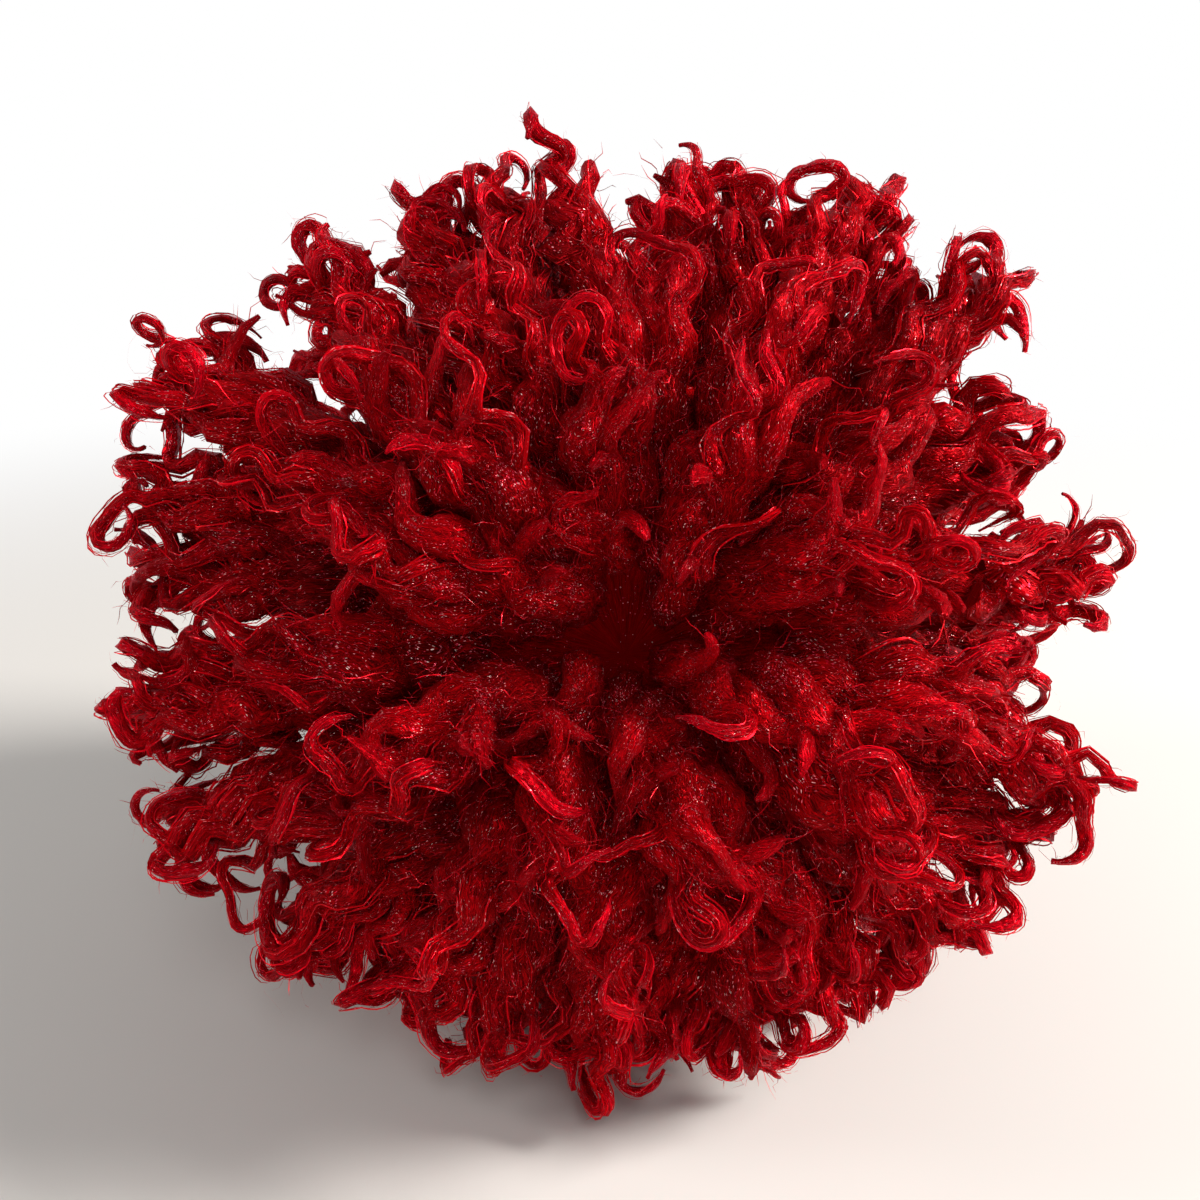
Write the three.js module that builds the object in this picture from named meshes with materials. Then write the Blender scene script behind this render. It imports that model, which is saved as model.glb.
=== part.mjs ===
// Faux fur pom pom: a ball of long curly faux fur. Its locks are drawn together at the middle and
// stand out all round in tufts with clefts between them, and the ball is pressed flat where it
// rests. It is one piece, so it is one solid that reaches as far as the locks do.
// Millimetres, +Z up, origin at the middle of the flat foot, the full front towards -Y.

import * as THREE from "three";
import { mergeVertices } from "three/addons/utils/BufferGeometryUtils.js";

// ---- driving dimensions ----
const MIDDLE_HEIGHT = 66; // from the surface up to the middle, where all the locks start
const CLEFT_REACH = 60; // from the middle to the floor of the clefts between tufts
const TUFT_FULLNESS = 2.6; // how blunt a tuft is: 2 is a bell, and more is flatter on top
const TUFT_STRAY = 3; // degrees that single locks stray past a tuft's half width
const TUFT_MERGE = 2.2; // how softly one tuft runs into the next, in millimetres

const CURLS_PER_TUFT = 3; // curled ends that break the top of each tuft
const CURL_LEAN = 0.6; // from a tuft's middle to its curls, as a share of the tuft's half width
const CURL_HALF_WIDTH = 6; // degrees, seen from the middle
const CURL_STAGGER = 3; // how much shorter each curl of a tuft is than the last

const LOCK_COUNT = 120; // single locks that fill the clefts
const LOCK_REACH = 71; // from the middle to the end of such a lock
const LOCK_REACH_SPREAD = 3; // how much longer or shorter one is than the next
const LOCK_HALF_WIDTH = 8; // degrees, seen from the middle
const PARTING_DEPTH = 10; // how much shorter the locks are at the middle of the face
const PARTING_HALF_WIDTH = 26; // degrees, seen from the middle

const UNDER_REACH = 71; // how far below the middle a tuft may reach: it ends on the surface
const FOOT_REACH = 84; // how far the fur under the ball would reach if nothing held it back
const FOOT_HALF_WIDTH = 34; // degrees, seen from the middle

const SKIN_DETAIL = 19; // how many new points divide each edge of the starting icosahedron

// The tufts stand in rings round the full face of the ball. A tuft's turn is counted round the face
// from the right, and its tilt from the rim of the face forward. Degrees, and reach in millimetres.
const FACE_AZIMUTH = 269; // from +X towards +Y, so 270 is the front
const FACE_ELEVATION = 21;
const RIM_TILT = 21;
// The rim, which is the ball's outline seen from the full face.
//   turn, reach, halfWidth
const RIM_TUFTS = [
  [9, 84, 6],
  [28, 79, 5],
  [43, 88, 5],
  [51, 79, 4],
  [61, 86, 5],
  [71, 80, 5],
  [81, 80, 5],
  [98, 86, 2],
  [106, 82, 5],
  [118, 81, 5],
  [131, 83, 5],
  [150, 89, 7],
  [165, 87, 5],
  [173, 84, 4],
  [187, 87, 7],
  [208, 84, 6],
  [225, 82, 7],
  [240, 78, 5],
  [252, 79, 4],
  [265, 82, 4],
  [277, 80, 4],
  [288, 82, 6],
  [303, 81, 6],
  [317, 84, 6],
  [330, 84, 5],
  [343, 85, 4],
];
// The rings inside the rim.
//   tilt, reach, halfWidth, turns
const FACE_RINGS = [
  [42, 77, 8, [12, 38, 62, 86, 110, 134, 156, 186, 212, 240, 270, 296, 322]],
  [56, 73, 9, [24, 60, 95, 130, 163, 210, 250, 290, 335]],
  [68, 63, 8, [45, 110, 150, 230, 280, 330]],
];
// The rings behind the rim.
//   tilt, reach, halfWidth, count, first turn
const BACK_RINGS = [
  [2, 77, 7, 20, 9],
  [-16, 81, 8, 17, 0],
  [-34, 84, 8, 15, 12],
  [-52, 85, 9, 11, 4],
  [-70, 85, 9, 6, 20],
  [-88, 84, 9, 1, 0],
];

const GOLDEN_ANGLE = Math.PI * (3 - Math.sqrt(5));
const { degToRad } = THREE.MathUtils;

function direction(azimuth, elevation) {
  const a = degToRad(azimuth);
  const e = degToRad(elevation);
  return new THREE.Vector3(Math.cos(e) * Math.cos(a), Math.cos(e) * Math.sin(a), Math.sin(e));
}

// An axis leaned away from another one by a number of degrees, towards a turn around it.
function leaned(axis, lean, turn) {
  const side = new THREE.Vector3(0, 0, 1).cross(axis).normalize();
  side.applyAxisAngle(axis, turn);
  return axis.clone().applyAxisAngle(side, degToRad(lean));
}

// The way at a turn round the face, tilted forward from its rim.
function aboutFace(turn, tilt) {
  const face = direction(FACE_AZIMUTH, FACE_ELEVATION);
  const right = new THREE.Vector3(0, 0, 1).cross(face).normalize();
  const onRim = right.applyAxisAngle(face, degToRad(turn));
  return onRim.multiplyScalar(Math.cos(degToRad(tilt))).addScaledVector(face, Math.sin(degToRad(tilt)));
}

// A tuft under the ball is cut short where the surface is in its way.
function tuftAt(turn, tilt, reach, halfWidth) {
  const axis = aboutFace(turn, tilt);
  const limit = axis.z < 0 ? UNDER_REACH / -axis.z : Infinity;
  return { axis, reach: Math.min(reach, limit), halfWidth };
}

function allTufts() {
  const rim = RIM_TUFTS.map(([turn, reach, halfWidth]) => tuftAt(turn, RIM_TILT, reach, halfWidth));
  const inside = FACE_RINGS.flatMap(([tilt, reach, halfWidth, turns]) =>
    turns.map((turn) => tuftAt(turn, tilt, reach, halfWidth)),
  );
  const behind = BACK_RINGS.flatMap(([tilt, reach, halfWidth, count, first]) =>
    Array.from({ length: count }, (_, i) => tuftAt(first + (i * 360) / count, tilt, reach, halfWidth)),
  );
  return [...rim, ...inside, ...behind];
}

// A big lobe for each tuft, and the curls that break its top.
function tuftLobes() {
  const lobes = [];
  allTufts().forEach(({ axis, reach, halfWidth }, row) => {
    lobes.push({ axis, reach: reach - CURL_STAGGER, halfWidth: degToRad(halfWidth + TUFT_STRAY) });
    for (let i = 0; i < CURLS_PER_TUFT; i++) {
      const turn = row * GOLDEN_ANGLE + (i * 2 * Math.PI) / CURLS_PER_TUFT;
      lobes.push({
        axis: leaned(axis, CURL_LEAN * halfWidth, turn),
        reach: reach - i * CURL_STAGGER,
        halfWidth: degToRad(CURL_HALF_WIDTH),
      });
    }
  });
  return lobes;
}

// The single locks between them, spread evenly over the ball on a golden spiral.
function lockLobes() {
  const face = direction(FACE_AZIMUTH, FACE_ELEVATION);
  const lobes = [];
  for (let i = 0; i < LOCK_COUNT; i++) {
    const height = 1 - (2 * (i + 0.5)) / LOCK_COUNT;
    const ring = Math.sqrt(1 - height * height);
    const turn = i * GOLDEN_ANGLE;
    const axis = new THREE.Vector3(ring * Math.cos(turn), ring * Math.sin(turn), height);
    const off = axis.angleTo(face) / degToRad(PARTING_HALF_WIDTH);
    const parted = PARTING_DEPTH * Math.exp(-(off ** 2));
    const reach = LOCK_REACH + LOCK_REACH_SPREAD * Math.sin(5 * turn) - parted;
    lobes.push({ axis, reach, halfWidth: degToRad(LOCK_HALF_WIDTH) });
  }
  return lobes;
}

// The fur under the ball, which fills all of the foot.
function footLobe() {
  return { axis: direction(0, -90), reach: FOOT_REACH, halfWidth: degToRad(FOOT_HALF_WIDTH) };
}

// How far the fur reaches from the middle in one direction: a soft maximum over all the lobes.
function furReach(outward, lobes) {
  let sum = 1;
  for (const { axis, reach, halfWidth } of lobes) {
    const lean = outward.angleTo(axis) / halfWidth;
    const rise = Math.max(reach - CLEFT_REACH, 0) * Math.exp(-(lean ** TUFT_FULLNESS));
    sum += Math.exp(rise / TUFT_MERGE) - 1;
  }
  return CLEFT_REACH + TUFT_MERGE * Math.log(sum);
}

// Locks that point down are bent back by the surface, so the foot under them is flat.
function skinPoint(outward, lobes) {
  const reach = furReach(outward, lobes);
  const toSurface = outward.z < 0 ? MIDDLE_HEIGHT / -outward.z : Infinity;
  const point = outward.clone().multiplyScalar(Math.min(reach, toSurface));
  point.z = reach < toSurface ? point.z + MIDDLE_HEIGHT : 0;
  return point;
}

function furBallGeometry() {
  const sphere = new THREE.IcosahedronGeometry(1, SKIN_DETAIL);
  sphere.deleteAttribute("normal");
  sphere.deleteAttribute("uv");
  const skin = mergeVertices(sphere, 1e-5);
  const lobes = [...tuftLobes(), ...lockLobes(), footLobe()];
  const points = skin.getAttribute("position");
  for (let i = 0; i < points.count; i++) {
    const outward = new THREE.Vector3().fromBufferAttribute(points, i).normalize();
    const { x, y, z } = skinPoint(outward, lobes);
    points.setXYZ(i, x, y, z);
  }
  skin.computeVertexNormals();
  return skin;
}

const curlyFur = new THREE.MeshStandardMaterial({ color: 0x9c0612, roughness: 0.45, metalness: 0 });

const furBall = new THREE.Mesh(furBallGeometry(), curlyFur);
furBall.name = "fur_ball";

const group = new THREE.Group();
group.add(furBall);

export default group;
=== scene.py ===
# Looks of a faux fur pom pom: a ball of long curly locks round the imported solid.
# Metres, +Z up, the full front towards -Y.

import math
import bmesh
import bpy
import numpy as np
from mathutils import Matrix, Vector


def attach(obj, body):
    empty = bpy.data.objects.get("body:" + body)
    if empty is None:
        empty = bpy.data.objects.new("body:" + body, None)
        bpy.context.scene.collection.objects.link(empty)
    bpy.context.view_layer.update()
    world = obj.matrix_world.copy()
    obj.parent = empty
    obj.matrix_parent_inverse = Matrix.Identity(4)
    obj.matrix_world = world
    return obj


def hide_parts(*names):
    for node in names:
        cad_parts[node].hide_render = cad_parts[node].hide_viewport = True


MM = 0.001
SEED = 638
ROOM_LIGHT = 0.24

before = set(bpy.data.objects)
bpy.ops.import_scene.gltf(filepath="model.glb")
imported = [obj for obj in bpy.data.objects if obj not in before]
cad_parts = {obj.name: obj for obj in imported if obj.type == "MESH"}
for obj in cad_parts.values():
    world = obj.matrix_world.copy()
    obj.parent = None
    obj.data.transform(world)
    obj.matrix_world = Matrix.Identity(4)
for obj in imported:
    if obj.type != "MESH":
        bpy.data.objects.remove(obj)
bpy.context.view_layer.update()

# ---- the ball, with the solid's tufts and one more in a gap ----
MIDDLE = np.array([0, 0, 66 * MM])
FACE = (269, 21)  # azimuth and elevation of the full face; the tufts stand in rings round it
UNDER_REACH = 71  # millimetres down from the middle that a tuft may reach
RIM_TILT = 21
# the rim: turn round the face from the right, reach, half width: degrees, millimetres, degrees
RIM_TUFTS = [
    (8, 83, 6.4),
    (28, 79, 5),
    (43, 88, 5),
    (51, 79, 4),
    (61, 86, 5),
    (71, 80, 5),
    (81, 80, 5),
    (95, 86, 2),
    (106, 82, 5),
    (118, 81, 5),
    (130, 83, 5),
    (150, 89, 7),
    (165, 87, 5),
    (173, 84, 4),
    (190, 86, 7.8),
    (206, 86, 6.4),
    (225, 82, 7),
    (240, 78, 5),
    (252, 79, 4),
    (265, 79, 4),
    (277, 77, 4),
    (288, 80, 6),
    (303, 79, 6),
    (317, 80, 6),
    (330, 81, 5),
    (344, 85, 4),
]
# tilt towards the face, reach, half width, and the turn of each tuft
FACE_RINGS = [
    (42, 77, 8, (12, 38, 62, 86, 110, 134, 156, 186, 212, 240, 270, 296, 322)),
    (56, 73, 9, (24, 60, 95, 130, 163, 210, 250, 290, 335)),
    (68, 63, 8, (45, 110, 150, 230, 280, 330)),
    (42, 77, 8, (348,)),  # fills the gap in the first ring
]
# clumps in each tuft of the ring, locks in it, fullness of its clumps
FACE_PILE = [(4, 3, 1.1), (6, 2, 0.95), (5, 1, 0.85), (4, 3, 1.1)]
# tilt, reach, half width, count, first turn
BACK_RINGS = [
    (2, 77, 7, 20, 9),
    (-16, 81, 8, 17, 0),
    (-34, 84, 8, 15, 12),
    (-52, 85, 9, 11, 4),
    (-70, 85, 9, 6, 20),
    (-88, 84, 9, 1, 0),
]

# ---- sizes of the pile ----
PARTING = (270, 16)  # azimuth and elevation of the place the pile lies away from
ROOT_REACH = 44 * MM  # where the pile comes out of the underfur, from the middle
ROOT_DRAW = 0.3  # how far from the parting a root lies, as a share of its tip's angle there
DRAWN_AS_FAR_AS = 112  # degrees from the parting; beyond them locks stand straight up
CLUMP_WIDTH = (3.8 * MM, 5.2 * MM)  # half width of the soft body of a clump
CLUMP_SHORT = (3, 8)  # how far a body stops short of its clump's curls, in millimetres
CLUMP_STEPS = 20
CLUMP_CURL = (1.1, 2.5)  # turn of a clump's end, in radians
CLUMP_LEAN = 2.5  # degrees that a clump's own width adds to its tuft
LOCK_SPREAD = 0.05  # how far apart the tips of one clump are, as a share of its reach
ROPE_RADIUS = (0.9 * MM, 1.7 * MM)
BARE_FROM = 0.55  # share of a lock's stem that stays inside its clump's body
WAVE_LENGTH = (11 * MM, 16 * MM)
WAVE_ANGLE = (0.6, 0.95)
# share of the locks, least and most turn in radians, least and most length
HOOKS = [
    (0.32, 4.2, 6.4, 16 * MM, 23 * MM),
    (0.48, 2.6, 4.2, 12 * MM, 19 * MM),
    (0.2, 0.5, 1.6, 8 * MM, 13 * MM),
]
FRONT_STEPS = (9, 20)  # in the stem and in the hook of a lock
BACK_STEPS = (7, 14)
FINE_STEPS = 320
MAP_BANDS = 8  # strips of the pile's map, each with a tone of its own
# painted shade: loose fibres are painted darker the nearer the middle they grow; each band of their map
# is one depth
DEEP, OUTER = 50 * MM, 78 * MM  # from the middle: loose fibres darken from the outer one to the deep one
DEEP_SHADE = 0.36  # how bright the deepest are, as a share of the outermost
STEM_GUESS = 26 * MM
SHORTEST_STEM = 8 * MM
STEM_TO_REACH = 0.87  # how far a lock's tip moves out when its stem grows by one
FLOOR_GAP = 0.3 * MM  # least height of any fibre over the surface the ball stands on
SOFT_LANDING = 2.0 * MM  # height in which a lock bends from falling to lying
SPLAY = 0.35  # how far a lock that lies down spreads out, as a share of the height it lost
GOLDEN_TURN = 2.39996  # radians, spreads the clumps of a tuft evenly
CLUMPS_PER_DEGREE = 0.7  # of a rim tuft's half width
LOCK_STAGGER = (0, 2.5, 5)  # how far each round of a tuft's locks stops short, in millimetres
FACE_LOCK_SLIM = 0.72  # thickness of a lock inside the rim, as a share of one on the rim
BODY_SHARE = 0.62  # place along a clump, from root to tip, over which the underfur swells

rng = np.random.default_rng(SEED)


def unit(v):
    return v / np.linalg.norm(v, axis=-1, keepdims=True)


def direction(azimuth, elevation):
    a, e = math.radians(azimuth), math.radians(elevation)
    return np.array([math.cos(e) * math.cos(a), math.cos(e) * math.sin(a), math.sin(e)])


def about_face(turn, tilt):
    """The way at a turn round the face, counted from the right, tilted from its rim towards it."""
    face = direction(*FACE)
    right, up = sides_of(face)
    t, f = math.radians(turn), math.radians(tilt)
    return math.cos(f) * (math.cos(t) * right + math.sin(t) * up) + math.sin(f) * face


def sides_of(axis):
    """Two unit vectors square to the axis and to each other."""
    level = np.array([0.0, 0.0, 1.0]) if abs(axis[2]) < 0.9 else np.array([1.0, 0.0, 0.0])
    first = unit(np.cross(level, axis))
    return first, np.cross(axis, first)


def between(low_high):
    return rng.uniform(*low_high)


def root_way(tip_way):
    """Where a lock leaves the underfur: its tip's way, drawn towards the parting."""
    pole = direction(*PARTING)
    angle = math.acos(float(np.clip(pole @ tip_way, -1, 1)))
    share = ROOT_DRAW + (1 - ROOT_DRAW) * min(angle / math.radians(DRAWN_AS_FAR_AS), 1) ** 2
    aside = unit(tip_way - (pole @ tip_way) * pole + 1e-9)
    return math.cos(angle * share) * pole + math.sin(angle * share) * aside


def lock_line(start, heading, arch, across, stem, habit):
    """Fine centre line of a lock: a waved stem, then a hook that closes on itself."""
    length = stem + habit["hook"]
    s = np.linspace(0, length, FINE_STEPS)
    along = s / length
    curl = np.clip((s - stem) / habit["hook"], 0, 1)
    sway = habit["wave"] * np.clip(s / (0.3 * stem), 0.3, 1) * (1 - habit["settle"] * curl)
    ripple = 2 * math.pi * s / habit["wave_length"] + habit["phase"]
    bend = sway * np.sin(ripple) + habit["turn"] * curl ** 1.1
    roll = sway * habit["helix"] * np.cos(ripple) + habit["lift"] * curl
    binormal = np.cross(heading, across)
    tangent = np.cos(roll)[:, None] * (
        np.cos(bend)[:, None] * heading + np.sin(bend)[:, None] * across
    ) + np.sin(roll)[:, None] * binormal
    tangent += arch[None, :] * (0.5 - np.clip(s / stem, 0, 1))[:, None]
    tangent[:, 2] -= habit["sag"] * along ** 2
    tangent = unit(tangent)
    step = length / (FINE_STEPS - 1)
    run = np.cumsum((tangent[1:] + tangent[:-1]) * 0.5 * step, axis=0)
    return s, start + np.vstack([np.zeros(3), run])


def line_of_reach(wanted, start, heading, arch, across, habit):
    """A lock line whose farthest point is as far from the middle as wanted. Also its stem's length."""
    stem = STEM_GUESS
    for _ in range(3):
        _, line = lock_line(start, heading, arch, across, stem, habit)
        stem += (wanted - np.linalg.norm(line - MIDDLE, axis=1).max()) / STEM_TO_REACH
        stem = max(stem, SHORTEST_STEM)
    s, line = lock_line(start, heading, arch, across, stem, habit)
    return s, line, stem


def picked_points(s, line, places):
    return np.stack([np.interp(places, s, line[:, k]) for k in range(3)], axis=1)


def lay_on_surface(points, thickness):
    """Bends a line back where it would pass through the surface the ball stands on."""
    least = thickness + FLOOR_GAP
    depth = (points[:, 2] - least) / SOFT_LANDING
    lifted = least + SOFT_LANDING * np.logaddexp(0, depth)
    pushed = np.clip(lifted - points[:, 2], 0, None)
    outward = points[:, :2] / np.maximum(np.linalg.norm(points[:, :2], axis=1, keepdims=True), 1e-6)
    laid = points.copy()
    laid[:, :2] += outward * pushed[:, None] * SPLAY
    laid[:, 2] = lifted
    return laid


def carried_side(line, side, twist):
    """A direction square to the line at each point, carried along it and slowly twisted."""
    tangents = unit(np.gradient(line, axis=0))
    sides = np.empty_like(line)
    for i, tangent in enumerate(tangents):
        side = unit(side - (side @ tangent) * tangent)
        sides[i] = side
    turn = (twist * np.linspace(0, 1, len(line)))[:, None]
    return np.cos(turn) * sides + np.sin(turn) * np.cross(tangents, sides)


def frame_of(tip_way, wanted, out_way, side_angle, root_rise=0.0):
    """Start, heading, wave direction and outer side of a line that ends along tip_way."""
    start = MIDDLE + root_way(tip_way) * (ROOT_REACH + root_rise)
    heading = unit(MIDDLE + tip_way * wanted - start)
    one = unit(out_way - (out_way @ heading) * heading)
    across = math.cos(side_angle) * one + math.sin(side_angle) * np.cross(heading, one)
    return start, heading, across, one


def one_lock(tip_way, wanted, out_way, manner):
    """One lock: it leaves its clump's body part of the way along its stem and ends in a hook."""
    start, heading, across, one = frame_of(tip_way, wanted, out_way,
                                           manner["side_angle"] + rng.uniform(-0.4, 0.4))
    shares = np.cumsum([kind[0] for kind in HOOKS])
    kind = HOOKS[int(np.searchsorted(shares, rng.random()))]
    _, least_turn, most_turn, least_length, most_length = kind
    habit = {
        "hook": rng.uniform(least_length, most_length),
        "turn": rng.uniform(least_turn, most_turn) * rng.choice((-1, 1)),
        "settle": 0.85 if most_turn > 2 else 0.2,
        "wave": between(WAVE_ANGLE),
        "wave_length": manner["wave_length"] * rng.uniform(0.95, 1.05),
        "phase": manner["phase"] + rng.uniform(-0.4, 0.4),
        "helix": manner["helix"],
        "lift": rng.uniform(-0.6, 0.6),
        "sag": rng.uniform(0.0, 0.2),
    }
    arch = root_way(tip_way) * manner["arch"]
    s, line, stem = line_of_reach(wanted, start, heading, arch, across, habit)
    begin = BARE_FROM * stem
    places = np.concatenate([
        np.linspace(begin, stem, manner["steps"][0], endpoint=False),
        np.linspace(stem, stem + habit["hook"], manner["steps"][1] + 1),
    ])
    line = picked_points(s, line, places)
    along = (places - begin) / (places[-1] - begin)
    rope = between(ROPE_RADIUS) * manner["slim"]
    ending = np.clip((1 - along) / 0.12, 0.25, 1) ** 0.6 * (1.25 - 0.5 * along)
    opening = np.interp(along, (0, 0.15, 0.45, 1), (0.6, 1.0, 0.0, 0.0))
    wide = rope * (1 + 0.9 * opening) * ending
    thick = rope * (1 + 0.2 * opening) * ending
    line = lay_on_surface(line, thick)
    return {
        "line": line,
        "along": along,
        "wide": wide,
        "thick": thick,
        "loose": np.interp(along, (0, 0.3, 0.6, 1), (1.0, 0.6, 0.35, 0.3)),
        "side": carried_side(line, one, rng.uniform(-1.2, 1.2)),
    }


def clump_body(tip_way, wanted, out_way, manner):
    """The soft body of a clump, in step with its locks, from the underfur to where they part."""
    start, heading, across, one = frame_of(tip_way, wanted, out_way, manner["side_angle"])
    habit = {
        "hook": rng.uniform(9, 14) * MM,
        "turn": between(CLUMP_CURL) * rng.choice((-1, 1)),
        "settle": 0.6,
        "wave": 0.7 * np.mean(WAVE_ANGLE),
        "wave_length": manner["wave_length"],
        "phase": manner["phase"],
        "helix": manner["helix"],
        "lift": rng.uniform(-0.5, 0.5),
        "sag": 0.05,
    }
    short = between(CLUMP_SHORT) * MM
    arch = root_way(tip_way) * manner["arch"]
    s, line, _ = line_of_reach(wanted - short, start, heading, arch, across, habit)
    line = picked_points(s, line, np.linspace(0, s[-1], CLUMP_STEPS + 1))
    along = np.linspace(0, 1, CLUMP_STEPS + 1)
    half = between(CLUMP_WIDTH) * manner["fullness"]
    wide = half * np.interp(along, (0, 0.25, 0.5, 0.65, 0.8, 0.94, 1),
                            (0.6, 1.0, 0.9, 0.62, 0.36, 0.24, 0.1))
    thick = wide * 0.75
    return {
        "line": lay_on_surface(line, thick),
        "along": along,
        "wide": wide,
        "thick": thick,
        "loose": np.ones_like(along),
        "side": carried_side(line, one, rng.uniform(-0.5, 0.5)),
    }


def tuft_pile(axis, reach, half_width, clumps, locks_of_tuft, fullness, slim, steps):
    """One tuft: the bodies of its clumps and the locks that come out of them."""
    first, second = sides_of(axis)
    start_turn = rng.uniform(0, 2 * math.pi)
    handed = rng.choice((-1, 1))
    bodies, locks = [], []
    manners = []
    for i in range(clumps):
        out = math.sqrt((i + 0.25) / clumps)
        turn = i * GOLDEN_TURN + start_turn
        fan = math.tan(math.radians(max(half_width - CLUMP_LEAN, 1))) * out
        out_way = math.cos(turn) * first + math.sin(turn) * second
        clump_way = unit(axis + fan * out_way)
        clump_reach = reach - 5 * out ** 2 + rng.uniform(-2, 1)
        manner = {
            "phase": rng.uniform(0, 2 * math.pi),
            "wave_length": between(WAVE_LENGTH),
            "side_angle": rng.uniform(-1.3, 1.3),
            "helix": handed * rng.uniform(0.3, 1.0),
            "arch": rng.uniform(0.1, 0.5),
            "fullness": fullness,
            "slim": slim,
            "steps": steps,
        }
        outward = unit(clump_way - (clump_way @ axis) * axis + 0.02 * out_way)
        bodies.append(clump_body(clump_way, clump_reach * MM, outward, manner))
        manners.append((clump_way, clump_reach, outward, manner))
    for j in range(locks_of_tuft):
        clump_way, clump_reach, outward, manner = manners[j % clumps]
        spread = rng.uniform(0, 2 * math.pi)
        aside = LOCK_SPREAD * (math.cos(spread) * first + math.sin(spread) * second)
        tip_way = unit(clump_way + aside * rng.uniform(0.5, 1.5))
        short = LOCK_STAGGER[(j // clumps) % 3] * rng.uniform(0.6, 1.3)
        wanted = (clump_reach - short) * MM
        locks.append(one_lock(tip_way, wanted, outward, manner))
    return bodies, locks


# ---- node trees ----
def feed(tree, socket, value):
    """Links a socket to an input, or sets a number, vector or name on it."""
    if isinstance(value, bpy.types.NodeSocket):
        tree.links.new(value, socket)
    else:
        socket.default_value = value


def put(tree, kind, settings=None, **sockets):
    """Adds a node, sets its properties, and fills its inputs with values or links."""
    node = tree.nodes.new(kind)
    for name, value in (settings or {}).items():
        setattr(node, name, value)
    for name, value in sockets.items():
        label = name.replace("_", " ")
        feed(tree, next(s for s in node.inputs if s.enabled and s.name.lower() == label.lower()), value)
    return node


def made(tree, kind, settings=None, **sockets):
    """Adds a node in the same way, and returns its first output."""
    node = put(tree, kind, settings, **sockets)
    return next(s for s in node.outputs if s.enabled)


def sum_of(tree, operation, *values, kind="ShaderNodeMath"):
    """A maths node: values are numbers, vectors or sockets."""
    node = tree.nodes.new(kind)
    node.operation = operation
    sockets = [s for s in node.inputs if s.enabled]
    for socket, value in zip(sockets, values):
        feed(tree, socket, value)
    return next(s for s in node.outputs if s.enabled)


def number(tree, operation, *values):
    return sum_of(tree, operation, *values)


def plus(tree, one, two):
    return number(tree, "ADD", one, two)


def less(tree, one, two):
    return number(tree, "SUBTRACT", one, two)


def times(tree, one, two):
    return number(tree, "MULTIPLY", one, two)


def ratio(tree, one, two):
    return number(tree, "DIVIDE", one, two)


def vector(tree, operation, *values):
    return sum_of(tree, operation, *values, kind="ShaderNodeVectorMath")


def scaled(tree, value, factor):
    node = tree.nodes.new("ShaderNodeVectorMath")
    node.operation = "SCALE"
    tree.links.new(value, node.inputs[0])
    feed(tree, node.inputs["Scale"], factor)
    return node.outputs["Vector"]


def new_tree(name, inputs):
    """An empty geometry tree with named inputs. Returns it, what it is given, and its output node."""
    tree = bpy.data.node_groups.new(name, "GeometryNodeTree")
    face = tree.interface
    face.new_socket(name="Geometry", in_out="INPUT", socket_type="NodeSocketGeometry")
    for label, (kind, value) in inputs.items():
        socket = face.new_socket(name=label, in_out="INPUT", socket_type=kind)
        if value is not None:
            socket.default_value = value
    face.new_socket(name="Geometry", in_out="OUTPUT", socket_type="NodeSocketGeometry")
    return tree, tree.nodes.new("NodeGroupInput").outputs, tree.nodes.new("NodeGroupOutput")


def random_per(tree, identity, low, high, seed):
    return made(tree, "FunctionNodeRandomValue", {"data_type": "FLOAT"}, Min=low, Max=high,
                ID=identity, Seed=seed)


def named_number(tree, name):
    return made(tree, "GeometryNodeInputNamedAttribute", {"data_type": "FLOAT"}, Name=name)


def named_vector(tree, name):
    return made(tree, "GeometryNodeInputNamedAttribute", {"data_type": "FLOAT_VECTOR"}, Name=name)


def capture(tree, geometry, **values):
    """Keeps values on a geometry. Returns the geometry and the kept values by name."""
    node = tree.nodes.new("GeometryNodeCaptureAttribute")
    node.domain = "POINT"
    tree.links.new(geometry, node.inputs["Geometry"])
    kept = {}
    for name, (kind, value) in values.items():
        node.capture_items.new(kind, name)
        tree.links.new(value, node.inputs[name])
        kept[name] = node.outputs[name]
    return node.outputs["Geometry"], kept


def fibre_place(tree, tone, across, outness):
    """A fibre's place across the map: a band for how far out it grows, which sets its painted shade, and
    its own tone in the band.
    """
    inside = plus(tree, times(tree, tone, 0.96), times(tree, across, 0.02))
    band = number(tree, "FLOOR", times(tree, outness, MAP_BANDS - 0.01))
    return ratio(tree, plus(tree, band, plus(tree, inside, 0.01)), float(MAP_BANDS))


def finish_tree(tree, mesh, across, along, material, output):
    """Shades a mesh smooth, stores its map, and ends the tree."""
    smooth = made(tree, "GeometryNodeSetShadeSmooth", Geometry=mesh)
    place = made(tree, "ShaderNodeCombineXYZ", X=across, Y=along)
    mapped = made(tree, "GeometryNodeStoreNamedAttribute", {"data_type": "FLOAT2", "domain": "CORNER"},
                  Geometry=smooth, Name="OFBake", Value=place)
    dyed = made(tree, "GeometryNodeSetMaterial", Geometry=mapped, Material=material)
    real = made(tree, "GeometryNodeRealizeInstances", Geometry=dyed)
    tree.links.new(real, output.inputs["Geometry"])


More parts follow.
